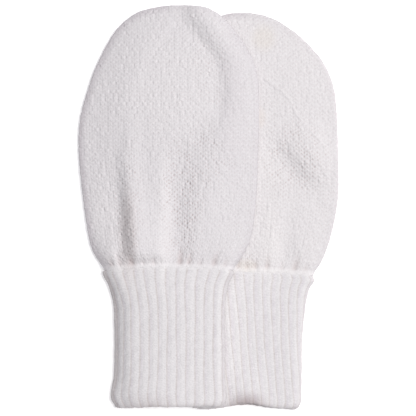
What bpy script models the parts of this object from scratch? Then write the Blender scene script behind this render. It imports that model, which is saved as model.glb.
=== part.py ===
"""A pair of knitted baby mittens laid flat, the left one lying half over the right one.

Each mitten is a front panel and a back panel of plain knit, sewn together round the
sides and the top, and gathered onto a ribbed cuff that is turned double. Every piece is
a wall of cloth. Sizes are in millimetres until mesh_object turns them into metres.

+Z is up, the closed ends point along +Y, and the origin is on the surface that the pair
lies on, under the middle of the pair.
"""
import math
from collections import namedtuple

import bmesh
import bpy
from mathutils import Vector

MM = 0.001

# Cloth
CLOTH = 1.1  # thickness of the plain knit
CUFF_CLOTH = 2.0  # thickness of the rib once it is turned double
GAP = 0.3  # between pieces at a seam, and between the two mittens
HOLLOW = 1.8  # how far the front stands off the back, past GAP, in the middle of a mitt
SEAM_HEIGHT = 2 * CLOTH + GAP  # thickness of a mitt along its seam
PUFF_REACH = 20.0  # distance from the seam over which a mitt's front reaches full height
CUFF_ROUND = 3.0  # the same on a cuff, whose folded sides are round
CUFF_SIDE_LIFT = 1.1  # how far a cuff's folded sides turn up from the surface
GATHER_REACH = 20.0  # height above the cuff over which the mitt spreads out
FOLD_RISE = 5.0  # height above the cuff over which the folds grow
BACK_DRAWN_UP = 0.6  # how far the back of a hem is drawn up, for 1 of its front
BRIDGE_RISE = 5.0  # distance from the upper mitten's edge over which its front leaves its back
BEND_REACH = 14.0  # distance from the join or the hem over which its bend fades out

# Fineness of the meshes
PANEL_ROWS = 26
PANEL_COLUMNS = 20
CUFF_COLUMNS = 22
OUTLINE_STEPS = 4  # points on the outline for each row of an outline's table
CUFF_RING_STEP = 2  # a ring round a cuff at every second point of its outline
LINING_RING_STEP = 4

# The outline of a mitt, in rows from the cuff to the closed end: where the left edge and
# the right edge are, across from the mitten's middle line and up from its cuff.
Edge = namedtuple("Edge", "left left_up right right_up")
# Half widths of a cuff at distances below the mitt.
CuffRow = namedtuple("CuffRow", "down left right")
# A soft ridge in a front panel, or a trough where high is negative. Its points are across
# from the middle line and up from the cuff, and its sides are as wide as given.
Fold = namedtuple("Fold", "points left_width right_width")
FoldPoint = namedtuple("FoldPoint", "across up high")
# How the upper mitten steps down beside the lower one: how far outside the lower one's
# edge it starts down, the distance over which it comes down, and the distance inwards
# over which it rises to its full height.
Step = namedtuple("Step", "bridge reach rise")
# Where the hem of a cuff's front stands open: how wide, how high and how far drawn up.
Mouth = namedtuple("Mouth", "middle half_width high drawn_up")
# How far up the join between mitt and cuff, or the hem, is off its level, and where that
# is across from the middle line.
BendPoint = namedtuple("BendPoint", "across up")
Mitten = namedtuple("Mitten", "name middle join join_bend hem_bend edges cuff folds mouth")

BACK_OF_MITT = Step(bridge=4.5, reach=18.0, rise=20.0)
BACK_OF_CUFF = Step(bridge=15.0, reach=9.0, rise=16.0)
FRONT_OF_MITT = Step(bridge=5.0, reach=20.0, rise=20.0)
FRONT_OF_CUFF = Step(bridge=18.0, reach=7.0, rise=19.0)

LEFT = Mitten(
    name="left",
    middle=-13.25,
    join=-20.15,
    join_bend=(
        BendPoint(across=-21.5, up=-0.4),
        BendPoint(across=-8.0, up=0.5),
        BendPoint(across=6.0, up=0.6),
        BendPoint(across=21.5, up=-0.3),
    ),
    hem_bend=(
        BendPoint(across=-18.6, up=0.3),
        BendPoint(across=0.0, up=0.5),
        BendPoint(across=18.6, up=1.4),
    ),
    edges=(
        Edge(left=-21.3, left_up=0.0, right=21.3, right_up=0.0),
        Edge(left=-24.0, left_up=3.3, right=24.0, right_up=3.3),
        Edge(left=-26.6, left_up=9.3, right=27.5, right_up=10.7),
        Edge(left=-28.9, left_up=24.7, right=29.3, right_up=24.7),
        Edge(left=-30.2, left_up=39.5, right=29.8, right_up=38.7),
        Edge(left=-29.7, left_up=49.3, right=30.3, right_up=52.3),
        Edge(left=-27.2, left_up=59.3, right=29.9, right_up=61.7),
        Edge(left=-23.4, left_up=69.3, right=27.7, right_up=70.0),
        Edge(left=-17.7, left_up=79.3, right=22.8, right_up=78.0),
        Edge(left=-11.0, left_up=85.0, right=17.1, right_up=84.2),
        Edge(left=-4.0, left_up=87.0, right=12.2, right_up=86.9),
        Edge(left=0.7, left_up=87.6, right=7.3, right_up=87.6),
    ),
    cuff=(
        CuffRow(down=0.0, left=21.4, right=21.3),
        CuffRow(down=1.3, left=22.1, right=21.6),
        CuffRow(down=5.3, left=20.3, right=19.8),
        CuffRow(down=10.7, left=18.8, right=18.9),
        CuffRow(down=16.0, left=18.3, right=18.7),
        CuffRow(down=34.0, left=18.3, right=18.7),
        CuffRow(down=42.0, left=19.5, right=19.0),
        CuffRow(down=45.2, left=18.6, right=18.9),
        CuffRow(down=46.5, left=16.0, right=17.6),
    ),
    folds=(
        Fold(
            points=(
                FoldPoint(across=-11.4, up=-2.0, high=1.2),
                FoldPoint(across=-12.2, up=8.0, high=1.2),
                FoldPoint(across=-12.8, up=22.0, high=0.9),
                FoldPoint(across=-14.0, up=38.0, high=0.3),
            ),
            left_width=4.5,
            right_width=15.0,
        ),
        Fold(
            points=(
                FoldPoint(across=2.6, up=-2.0, high=-0.9),
                FoldPoint(across=3.0, up=20.0, high=-0.9),
                FoldPoint(across=3.8, up=38.0, high=-0.4),
            ),
            left_width=5.0,
            right_width=6.0,
        ),
        Fold(
            points=(
                FoldPoint(across=9.6, up=84.0, high=0.5),
                FoldPoint(across=14.3, up=77.0, high=0.9),
                FoldPoint(across=19.6, up=69.5, high=0.9),
                FoldPoint(across=21.4, up=57.0, high=0.7),
                FoldPoint(across=18.5, up=42.0, high=0.3),
            ),
            left_width=4.5,
            right_width=8.0,
        ),
    ),
    mouth=Mouth(middle=-6.0, half_width=12.0, high=0.5, drawn_up=0.3),
)

RIGHT = Mitten(
    name="right",
    middle=12.4,
    join=-21.15,
    join_bend=(
        BendPoint(across=-21.5, up=0.6),
        BendPoint(across=0.0, up=0.1),
        BendPoint(across=12.0, up=-0.3),
        BendPoint(across=22.5, up=-1.2),
    ),
    hem_bend=(
        BendPoint(across=-19.0, up=0.7),
        BendPoint(across=18.6, up=0.8),
    ),
    edges=(
        Edge(left=-21.3, left_up=0.0, right=22.4, right_up=0.0),
        Edge(left=-24.0, left_up=3.3, right=25.6, right_up=4.3),
        Edge(left=-27.5, left_up=10.7, right=28.7, right_up=12.3),
        Edge(left=-29.3, left_up=24.7, right=30.9, right_up=24.3),
        Edge(left=-29.8, left_up=38.7, right=31.0, right_up=38.7),
        Edge(left=-30.0, left_up=52.3, right=30.5, right_up=52.3),
        Edge(left=-28.5, left_up=61.7, right=29.2, right_up=62.0),
        Edge(left=-25.5, left_up=70.0, right=25.5, right_up=70.3),
        Edge(left=-20.0, left_up=77.3, right=18.5, right_up=78.0),
        Edge(left=-13.0, left_up=83.0, right=11.7, right_up=82.9),
        Edge(left=-8.0, left_up=85.2, right=6.5, right_up=85.2),
        Edge(left=-4.5, left_up=86.1, right=1.0, right_up=86.2),
    ),
    cuff=(
        CuffRow(down=0.0, left=21.0, right=22.3),
        CuffRow(down=2.0, left=21.3, right=22.9),
        CuffRow(down=4.8, left=20.3, right=21.4),
        CuffRow(down=9.0, left=19.4, right=20.3),
        CuffRow(down=16.0, left=19.0, right=19.5),
        CuffRow(down=26.0, left=19.0, right=18.8),
        CuffRow(down=42.0, left=19.0, right=18.6),
        CuffRow(down=44.7, left=18.9, right=18.4),
        CuffRow(down=46.0, left=17.2, right=17.2),
    ),
    folds=(
        Fold(
            points=(
                FoldPoint(across=7.5, up=43.5, high=-0.2),
                FoldPoint(across=11.0, up=39.2, high=-0.8),
                FoldPoint(across=16.8, up=32.5, high=-1.0),
                FoldPoint(across=22.5, up=26.0, high=-0.4),
            ),
            left_width=9.0,
            right_width=5.0,
        ),
        Fold(
            points=(
                FoldPoint(across=11.3, up=28.0, high=0.2),
                FoldPoint(across=10.2, up=18.0, high=0.6),
                FoldPoint(across=7.6, up=-2.0, high=0.7),
            ),
            left_width=8.0,
            right_width=5.0,
        ),
    ),
    mouth=Mouth(middle=2.5, half_width=8.5, high=1.4, drawn_up=1.4),
)

# Colour and roughness of the cloth
WHITE_KNIT = (0.80, 0.79, 0.80, 1.0)
WHITE_RIB = (0.78, 0.77, 0.78, 1.0)
CLOTH_ROUGHNESS = 0.95


def clear_scene():
    for old in list(bpy.data.objects):
        bpy.data.objects.remove(old)


def ease(value):
    """A smooth climb from 0 to 1 while value goes from 0 to 1."""
    value = min(max(value, 0.0), 1.0)
    return value * value * (3.0 - 2.0 * value)


def smooth_points(points, steps):
    """Points on a smooth curve through the given ones, steps for each stretch."""
    ends = [2 * points[0] - points[1]] + list(points) + [2 * points[-1] - points[-2]]
    curve = [points[0]]
    for before, here, there, after in zip(ends, ends[1:], ends[2:], ends[3:]):
        for step in range(1, steps + 1):
            t = step / steps
            curve.append(0.5 * (
                2 * here
                + (there - before) * t
                + (2 * before - 5 * here + 4 * there - after) * t ** 2
                + (3 * here - before - 3 * there + after) * t ** 3
            ))
    return curve


def mitt_edges(mitten):
    """The left and the right edge of a mitt, from the cuff to the closed end."""
    left = [Vector((mitten.middle + e.left, mitten.join + e.left_up)) for e in mitten.edges]
    right = [Vector((mitten.middle + e.right, mitten.join + e.right_up)) for e in mitten.edges]
    return smooth_points(left, OUTLINE_STEPS), smooth_points(right, OUTLINE_STEPS)


def cuff_edges(mitten):
    """The left and the right side of a cuff, from the mitt to the hem."""
    left = [Vector((mitten.middle - c.left, mitten.join - GAP - c.down)) for c in mitten.cuff]
    right = [Vector((mitten.middle + c.right, mitten.join - GAP - c.down)) for c in mitten.cuff]
    return smooth_points(left, OUTLINE_STEPS), smooth_points(right, OUTLINE_STEPS)


def point_along(curve, share):
    """The point at a share of a curve's length, from its start."""
    lengths = [(b - a).length for a, b in zip(curve, curve[1:])]
    wanted = share * sum(lengths)
    for start, end, length in zip(curve, curve[1:], lengths):
        if wanted <= length:
            return start.lerp(end, wanted / length)
        wanted -= length
    return curve[-1]


def whole_outline(mitten):
    """The outline of a mitten and its cuff, from hem to hem over the closed end."""
    cuff_left, cuff_right = cuff_edges(mitten)
    mitt_left, mitt_right = mitt_edges(mitten)
    return cuff_left[::-1] + mitt_left + mitt_right[::-1] + cuff_right


def is_inside(outline, point):
    """Whether a point is inside the outline, closed along the hem."""
    inside = False
    for a, b in zip(outline, outline[1:] + outline[:1]):
        if (a.y > point.y) != (b.y > point.y):
            crossing = a.x + (point.y - a.y) / (b.y - a.y) * (b.x - a.x)
            if point.x < crossing:
                inside = not inside
    return inside


def depth_inside(outline, point):
    """Distance from the outline, positive inside and negative outside."""
    nearest = math.inf
    for a, b in zip(outline, outline[1:]):
        along = b - a
        share = (point - a).dot(along) / max(along.length_squared, GAP ** 4)
        closest = a + along * min(max(share, 0.0), 1.0)
        nearest = min(nearest, (point - closest).length)
    return nearest if is_inside(outline, point) else -nearest


def rounded(depth, reach):
    """Height of cloth that rises from a seam and reaches full height this far inside it."""
    share = min(max(depth / reach, 0.0), 1.0)
    return SEAM_HEIGHT + HOLLOW * (1.0 - (1.0 - share) ** 2)


def thickness(mitten, point, depth):
    """Height of a flat mitten's upper side over its underside, without the folds."""
    above_cuff = point.y - mitten.join
    return rounded(depth, CUFF_ROUND + (PUFF_REACH - CUFF_ROUND) * ease(above_cuff / GATHER_REACH))


def one_fold(mitten, fold, point):
    """The height of one fold at a point."""
    nearest = math.inf
    height = 0.0
    for start, end in zip(fold.points, fold.points[1:]):
        corner = Vector((mitten.middle + start.across, mitten.join + start.up))
        along = Vector((end.across - start.across, end.up - start.up))
        share = (point - corner).dot(along) / along.length_squared
        share = min(max(share, 0.0), 1.0)
        offset = point - corner - share * along
        if offset.length < nearest:
            nearest = offset.length
            going_up = along if along.y > 0.0 else -along
            is_right = offset.x * going_up.y > offset.y * going_up.x
            width = fold.right_width if is_right else fold.left_width
            high = start.high + (end.high - start.high) * share
            height = high * ease(1.0 - nearest / width)
    return height


def fold_height(mitten, point):
    """What the folds add to the front panel's height."""
    total = sum(one_fold(mitten, fold, point) for fold in mitten.folds)
    return total * ease((point.y - mitten.join) / FOLD_RISE)


def surface_height(point):
    """The height of the surface, which all of the lower mitten lies on."""
    return 0.0


def step_height(point, on_cuff, on_mitt):
    """The height of a cloth that lies on the lower mitten and steps down beside it."""
    share = ease((point.y - LEFT.join) / GATHER_REACH)
    bridge = on_cuff.bridge + (on_mitt.bridge - on_cuff.bridge) * share
    reach = on_cuff.reach + (on_mitt.reach - on_cuff.reach) * share
    rise = on_cuff.rise + (on_mitt.rise - on_cuff.rise) * share
    depth = depth_inside(RIGHT_OUTLINE, point) + bridge
    if depth > 0.0:
        return rounded(depth, rise) + max(fold_height(RIGHT, point), 0.0) + GAP
    return (SEAM_HEIGHT + GAP) * ease(1.0 + depth / reach)


def draped_height(point):
    """The underside of the upper mitten's back."""
    return step_height(point, BACK_OF_CUFF, BACK_OF_MITT)


def bridged_height(point):
    """The same for its front, which spans the step beside the lower mitten."""
    lowest = draped_height(point)
    highest = step_height(point, FRONT_OF_CUFF, FRONT_OF_MITT)
    return lowest + (highest - lowest) * ease(depth_inside(LEFT_OUTLINE, point) / BRIDGE_RISE)


def mouth_opening(mitten, point):
    """How far the cuff's front stands up from its back near the hem."""
    hem = mitten.join - mitten.cuff[-1].down
    from_hem = (point.y - hem) / (2 * mitten.mouth.half_width)
    across = abs(point.x - mitten.middle - mitten.mouth.middle) / mitten.mouth.half_width
    return mitten.mouth.high * ease(1.0 - across) * ease(1.0 - from_hem)


def bend_height(bend, across):
    """How far up a bent line is off its level."""
    across = min(max(across, bend[0].across), bend[-1].across)
    for start, end in zip(bend, bend[1:]):
        if across <= end.across:
            share = (across - start.across) / (end.across - start.across)
            return start.up + (end.up - start.up) * share
    return bend[-1].up


def bend_at(mitten, point):
    """How far a point moves up with the join and the hem."""
    hem = mitten.join - GAP - mitten.cuff[-1].down
    across = point.x - mitten.middle
    near_join = ease(1.0 - abs(point.y - mitten.join) / BEND_REACH)
    near_hem = ease(1.0 - abs(point.y - hem) / BEND_REACH)
    join_up = bend_height(mitten.join_bend, across)
    hem_up = bend_height(mitten.hem_bend, across)
    return near_join * join_up + near_hem * hem_up


def wall(mitten, node, sheet, lower, upper):
    """A wall of cloth: a sheet of points, pulled up from its lower to its upper side."""
    mesh = bmesh.new()
    rows = [[mesh.verts.new((p.x, p.y, lower(p))) for p in row] for row in sheet]
    for near, far in zip(rows, rows[1:]):
        for a, b, c, d in zip(near, near[1:], far[1:], far):
            mesh.faces.new((a, d, c, b))
    thick = bmesh.ops.extrude_face_region(mesh, geom=list(mesh.faces), use_keep_orig=True)
    for vertex in thick["geom"]:
        if isinstance(vertex, bmesh.types.BMVert):
            vertex.co.z = upper(vertex.co.xy)
    return mesh_object(mitten, node, mesh, WHITE_KNIT)


def panel_sheet(mitten):
    """Rows of points across a mitt, from the cuff to the closed end."""
    left, right = mitt_edges(mitten)
    sheet = []
    for row in range(PANEL_ROWS + 1):
        share = row / PANEL_ROWS
        start = point_along(left, share)
        end = point_along(right, share)
        shares = [column / PANEL_COLUMNS for column in range(PANEL_COLUMNS + 1)]
        sheet.append([start.lerp(end, 0.5 - 0.5 * math.cos(math.pi * s)) for s in shares])
    return sheet


def make_panels(mitten, outline, back_base, front_base):
    """The back panel, and the front panel that lies over it."""
    sheet = panel_sheet(mitten)

    def front_top(point):
        flat = thickness(mitten, point, depth_inside(outline, point))
        return front_base(point) + max(flat + fold_height(mitten, point), SEAM_HEIGHT)

    wall(mitten, "back", sheet, back_base, lambda p: back_base(p) + CLOTH)
    wall(mitten, "front", sheet, lambda p: front_top(p) - CLOTH, front_top)


def cuff_ring(mitten, outline, back_base, front_base, ends, is_lining):
    """One ring round a cuff: along its front from left to right, and back underneath."""
    inset = Vector((CUFF_CLOTH, 0.0)) if is_lining else Vector((0.0, 0.0))
    start = ends[0] + inset
    end = ends[1] - inset
    front, back = [], []
    for column in range(CUFF_COLUMNS + 1):
        flat = start.lerp(end, 0.5 - 0.5 * math.cos(math.pi * column / CUFF_COLUMNS))
        depth = depth_inside(outline, flat)
        opening = mouth_opening(mitten, flat)
        top = front_base(flat) + opening + thickness(mitten, flat, depth)
        bottom = back_base(flat) + CUFF_SIDE_LIFT * (1.0 - min(depth / CUFF_ROUND, 1.0)) ** 2
        if is_lining:
            top = front_base(flat) + opening + CUFF_CLOTH + GAP
            bottom = back_base(flat) + CUFF_CLOTH
        drawn_up = mitten.mouth.drawn_up * opening / mitten.mouth.high
        front.append((flat.x, flat.y + drawn_up, top))
        back.append((flat.x, flat.y + drawn_up * BACK_DRAWN_UP, bottom))
    return front + back[::-1]


def make_cuff(mitten, outline, back_base, front_base):
    """A ribbed cuff turned double: down its outside, round the hem and up its lining."""
    sides = list(zip(*cuff_edges(mitten)))
    outside = [
        cuff_ring(mitten, outline, back_base, front_base, ends, is_lining=False)
        for ends in sides[::CUFF_RING_STEP]
    ]
    lining = [
        cuff_ring(mitten, outline, back_base, front_base, ends, is_lining=True)
        for ends in sides[::-LINING_RING_STEP]
    ]
    mesh = bmesh.new()
    loops = [[mesh.verts.new(point) for point in ring] for ring in outside + lining]
    for near, far in zip(loops, loops[1:] + loops[:1]):
        for a, b, c, d in zip(near, near[1:] + near[:1], far[1:] + far[:1], far):
            mesh.faces.new((a, d, c, b))
    return mesh_object(mitten, "cuff", mesh, WHITE_RIB)


def cloth_material(name, colour):
    material = bpy.data.materials.new(name)
    material.use_nodes = True
    shader = material.node_tree.nodes["Principled BSDF"]
    shader.inputs["Base Color"].default_value = colour
    shader.inputs["Roughness"].default_value = CLOTH_ROUGHNESS
    shader.inputs["Metallic"].default_value = 0.0
    return material


def mesh_object(mitten, node, mesh, colour):
    """Bend a piece with its join and hem, scale it to metres and put it in the scene."""
    name = mitten.name + "_" + node
    for vertex in mesh.verts:
        vertex.co.y += bend_at(mitten, vertex.co)
    bmesh.ops.recalc_face_normals(mesh, faces=list(mesh.faces))
    bmesh.ops.triangulate(mesh, faces=list(mesh.faces))
    bmesh.ops.scale(mesh, vec=(MM, MM, MM), verts=list(mesh.verts))
    data = bpy.data.meshes.new(name)
    mesh.to_mesh(data)
    mesh.free()
    data.shade_smooth()
    data.materials.append(cloth_material(name + "_cloth", colour))
    piece = bpy.data.objects.new(name, data)
    bpy.context.scene.collection.objects.link(piece)
    return piece


LEFT_OUTLINE = whole_outline(LEFT)
RIGHT_OUTLINE = whole_outline(RIGHT)

clear_scene()
make_panels(RIGHT, RIGHT_OUTLINE, surface_height, surface_height)
make_cuff(RIGHT, RIGHT_OUTLINE, surface_height, surface_height)
make_panels(LEFT, LEFT_OUTLINE, draped_height, bridged_height)
make_cuff(LEFT, LEFT_OUTLINE, draped_height, bridged_height)
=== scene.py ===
"""The look of a pair of knitted baby mittens, laid flat with the left one half over the right.

Each piece is a closed shell of cloth that lies on its CAD solid: a finely modelled outer
side with the yarn of the knit, a plain inner side, and a rim that joins them. Sizes are
in millimetres until cloth_object turns them into metres. Points are rows of x and y.
"""
import math
from collections import namedtuple

import bpy
import numpy as np
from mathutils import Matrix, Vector


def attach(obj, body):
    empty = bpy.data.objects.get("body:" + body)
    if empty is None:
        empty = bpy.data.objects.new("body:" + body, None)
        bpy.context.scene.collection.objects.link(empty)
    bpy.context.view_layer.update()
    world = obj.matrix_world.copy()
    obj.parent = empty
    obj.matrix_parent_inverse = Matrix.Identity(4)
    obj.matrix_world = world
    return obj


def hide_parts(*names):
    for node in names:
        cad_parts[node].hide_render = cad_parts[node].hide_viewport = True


MM = 0.001

# Cloth, as in the CAD model
CLOTH = 1.1  # thickness of the plain knit
CUFF_CLOTH = 2.0  # thickness of the rib once it is turned double
GAP = 0.3  # between pieces at a seam, and between the two mittens
HOLLOW = 1.8  # how far a mitt's front stands off its back, past GAP
SEAM_HEIGHT = 2 * CLOTH + GAP  # thickness of a mitt along its seam
PUFF_REACH = 20.0  # distance from the seam over which a mitt's front reaches full height
CUFF_ROUND = 3.0  # the same on a cuff
GATHER_REACH = 20.0  # height above the cuff over which the mitt spreads out
FOLD_RISE = 5.0  # height above the cuff over which the folds grow
BACK_DRAWN_UP = 0.6  # how far the back of a hem is drawn up, for 1 of its front
BRIDGE_RISE = 5.0  # distance from the upper mitten's edge over which its front leaves its back
OUTLINE_STEPS = 4  # points on the smooth curve from one given point to the next
SHORTEST = 0.09  # least length counted for a stretch of a line

# Knit of the mitts
WALES = 34  # columns of stitches across a mitt
STITCH = 1.4  # height of a stitch
FRONT_FINENESS = (8, 6)  # mesh columns for a wale, mesh rows for a stitch
BACK_FINENESS = (6, 4)
INNER_COLUMNS = 14  # mesh columns of a panel's plain inner side
LEG_HEIGHT = 0.13  # of the two slanted legs of a stitch
WALE_HEIGHT = 0.06  # how far the two rows of legs in a wale stand up
UNEVENNESS = 0.08  # how far one stitch stands above another
PIT_DEPTH = 0.28  # of a pinhole
PINHOLE_WIDTH = 0.13  # half of it, in wales
PINHOLE_HEIGHT = 0.20  # half of it, in stitches
LEAST_HOLE = 0.2  # how open the smallest pinholes are
HOLE_SPREAD = 1.1  # how much more open the largest ones are
TIGHT = 0.25  # how open the pinholes are away from the patches where the knit is pulled
PATCH_FADE = 1.5  # where such a patch ends, in its own radii
TONE_FADE = 1.4  # where a stained, a lighter, a painted-shade or a painted-light place ends, in its own radii
EASED_RELIEF = 0.7  # share of the yarn's relief left where the knit is not pulled
FUZZ_HEIGHT = 0.015  # fibres that stand off the yarn
FUZZ_SHADE = 0.03  # how much lighter or darker they are
STITCH_TABLE = (70, 70)  # stitches up and half wales across, after which chance repeats
WALE_WOBBLE = 0.4  # how far the wales stray sideways, for 1 that the stitches stray up
NORMAL_STEP = 0.15  # distance over which the slope of a panel is taken

# Edges of the mitts
LEFT_ROLL = 2.8  # width over which a panel turns down to its seam, on its left
RIGHT_ROLL = 1.5  # the same on its right
JOIN_ROLL = 0.8  # the same along the cuff
JOIN_DROP = 0.15  # share of its height that a panel loses there
EDGE_INSET = 0.25  # distance from a panel's outer side to its inner side along the seam
EDGE_WIDTH = 3.2  # width of the painted shade along a seam
RIGHT_SHADE_SHARE = 0.4  # how strong the painted shade is on the right, for 1 on the left
FLAT_EDGE = 1.2  # width of the flatter knit along a seam
EDGE_FLATNESS = 0.65  # share of the relief lost there
BAND_HEIGHT = 1.7  # the row of stitches that gathers a mitt onto its cuff
BAND_STAND = 0.20  # how far that row stands up
BAND_FLATNESS = 0.7  # share of the relief lost there
JOIN_LAP = 0.45  # how far its scallops lap over the cuff's upper edge
SCALLOP = 3.0  # width of one of them
SCALLOP_STRAY = 0.8  # how uneven they are, as an angle
SCALLOP_DRIFT = 1.3  # how fast that changes along the join
GATHER_LEAN = 0.35  # how far the gathers spread over GATHER_REACH, for 1 across
GATHER_SHADE = 1.1  # how much painted shade a gather takes, for its depth
BEND_REACH = 14.0  # distance from the join or the hem over which its bend fades out
FLOOR_GAP = 0.02  # least height of the yarn over the floor

# Rib of the cuffs
COURSE = 0.9  # height of a course of the rib
COURSE_ROWS = 4  # mesh rows for a course
RIB_COLUMNS = 14  # mesh columns for a rib
SECTION_POINTS = 121  # points across a cuff at which its shape is worked out
RIB_LEG_HEIGHT = 0.11
RIB_LEG_SLANT = 0.9  # in courses for a wale
PURL_HEIGHT = 0.08  # of the loops between the raised wales
LEG_RECESS = 0.4  # how much painted shade the yarn takes between two legs, for 1 between the raised wales
GROOVE_HALF = 0.08  # half the width of the painted shade in the groove between the ribs, in ribs
GROOVE_SHIFT = 0.025  # how far its line of painted shade is off its middle, in ribs
GROOVE_DOTS = 0.3  # how much more painted shade it takes at the loops
RIB_WANDER = 0.03  # how far the ribs stray from straight, in ribs
COURSE_WANDER = 0.5  # how far the courses stray, in courses
RIB_START = 0.3  # how strongly the rib shows right under the mitt
RIB_START_WIDTH = 1.2  # and how far down it shows in full
RIB_TABLE = 60  # rows after which chance repeats
FLECKS = 6  # lighter and darker stitches across a rib
FLECK_SHADE = 0.07  # how much lighter or darker they are
LEFT_SIDE_ROLL = 4.5  # width over which a cuff turns round its left folded side
RIGHT_SIDE_ROLL = 1.4  # the same on its right
LINING_ROLL = 0.5  # the same on the inside of a cuff
FOLDED_SIDE_WIDTH = 2.6  # width of the painted shade along a cuff's folded sides
HEM_WIDTH = 2.2  # height of the painted shade along its hem
HEM_ROWS = 8  # mesh rows round the hem
HEM_STRETCH = 2.0  # how much more of the rib each takes up than the others
MOUTH_WIDTH = 6.0  # height of the painted shade where the hem stands open and curls under
WIDE_MOUTH = 1.2  # a mouth that stands this far open takes the full painted shade
LINING_RIB = 6.0  # the ribs are modelled this far up inside the cuff
LINING_FADE = 1.2  # how sharply they fade out there
LINING_ROWS = 9  # mesh rows above them

# How yarn strays: how far, how fast it swings along and across, and where that starts.
Stray = namedtuple("Stray", "far along across start", defaults=(0.0,))
WOBBLES = (Stray(0.10, 1.7, 0.9), Stray(0.08, -0.6, 2.3))
EDGE_BUMPS = (Stray(0.04, 2.3, 0.0), Stray(0.04, 3.7, 0.0, 5.0), Stray(0.04, 0.0, 2.9))
RIB_STRAYS = (Stray(1.0, 0.11, 41.0), Stray(1.0, 0.23, -97.0))
RIB_SWELL = (Stray(1.0, 0.71, 83.0),)
RIB_EBB = (Stray(1.0, 0.37, 29.0),)

# Heights are worked out on a grid of this spacing, and smoothed
MAP_STEP = 0.5
MAP_REACH = (48.0, 72.0)
MAP_BLURS = 4

# Colours
LEFT_COLOUR = (0.73, 0.715, 0.73)
RIGHT_COLOUR = (0.745, 0.73, 0.74)
RIB_COLOUR = (0.755, 0.74, 0.75)
# Painted shade, brownish, in the pinholes and the gathers
PAINTED_HOLLOW_SHADE = (0.74, 0.66, 0.64)
# Painted shade, lavender-grey, in the grooves between the legs
PAINTED_GROOVE_SHADE = (0.955, 0.94, 0.945)
# Painted shade along the seams, strongest on the left, away from the light
PAINTED_EDGE_SHADE = (0.88, 0.86, 0.88)
# Painted light on the raised band of stitches along the join
PAINTED_BAND_LIGHT = (1.11, 1.105, 1.10)
# Painted shade in the grooves between the ribs
PAINTED_RIB_GROOVE_SHADE = (0.785, 0.75, 0.73)
# Painted shade, lavender, on the recessed purl wales and between two legs
PAINTED_RECESS_SHADE = (0.975, 0.962, 0.98)
# Painted shade between the purl loops
PAINTED_PURL_DOT_SHADE = (0.87, 0.85, 0.88)
# Painted shade on a cuff's folded sides, strongest on the left, away from the light
PAINTED_SIDE_SHADE = (0.80, 0.77, 0.77)
# Painted shade along the hem, where it turns down
PAINTED_HEM_SHADE = (0.94, 0.93, 0.93)
# Painted shade where the open hem curls under
PAINTED_MOUTH_SHADE = (0.68, 0.63, 0.63)
STAIN_TINT = (1.0, 0.985, 0.945)
WARM_TINT = (1.0, 0.98, 0.955)
SHADE_TINT = (0.92, 0.895, 0.885)
# Painted shade beside the top crease
PAINTED_SOFT_SHADE = (0.96, 0.955, 0.96)
# Painted light on the sides of folds and ridges that face the light
PAINTED_LIGHT_TINT = (1.06, 1.06, 1.055)
FAINT_TINT = (1.035, 1.035, 1.03)
FLOOR_COLOUR = (0.92, 0.92, 0.92)
WORLD_COLOUR = (0.97, 0.965, 1.0)

# Stage, in metres, with the lens in millimetres
FLOOR_SIZE = 6.0
FLOOR_LEVEL = -0.0002
FLOOR_GLOW = 0.36
WORLD_STRENGTH = 0.33
CAMERA_PLACE = (-0.00017, -0.0002, 1.004)
SENSOR_WIDTH = 36.0
LENS = SENSOR_WIDTH / 0.1387  # a width of 138.7 mm is seen from a distance of 1 m

# Points on a mitt's two edges, across from its middle line and up from the cuff.
Edge = namedtuple("Edge", "left left_up right right_up")
# How far a cuff reaches to both sides of the middle line, this far down from the mitt.
CuffRow = namedtuple("CuffRow", "down left right")
# A soft ridge, or a trough where high is negative. Each of its points is across from the
# middle line, up from the cuff, and high.
Fold = namedtuple("Fold", "points left_width right_width")
# How a cloth that lies on the lower mitten comes down beside it: it spans this far past the
# edge, comes down over reach, and rises over the edge over rise.
Step = namedtuple("Step", "bridge reach rise")
Mouth = namedtuple("Mouth", "middle half_width high drawn_up")
SeamLine = namedtuple("SeamLine", "points half_width high")
# A stained or a lighter oval, or one of painted shade or painted light, placed across from the middle
# line and up from the cuff.
Tone = namedtuple("Tone", "middle radii tint")
# One where the knit is pulled and its pinholes show.
Patch = namedtuple("Patch", "middle radii strength")
# Where a small gather runs up from the cuff, across from the middle line, and its size.
Gather = namedtuple("Gather", "across tall half_width high")
# profile gives heights across one rib, from the groove beside it to the next groove. The
# raised wales are past purl_end, and slant is how far a rib leans over the cuff's length.
Rib = namedtuple("Rib", "count phase profile purl_end wales slant")
# A bend gives how far up the join or the hem is off its level, across from the middle line.
Mitten = namedtuple("Mitten", (
    "name middle join join_bend hem_bend edges cuff folds mouth creases seam_lines "
    "open_patches tones gathers rib row_tilt colour"
))

BACK_OF_MITT = Step(4.5, 18.0, 20.0)
BACK_OF_CUFF = Step(15.0, 9.0, 16.0)
FRONT_OF_MITT = Step(5.0, 20.0, 20.0)
FRONT_OF_CUFF = Step(18.0, 7.0, 19.0)

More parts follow.
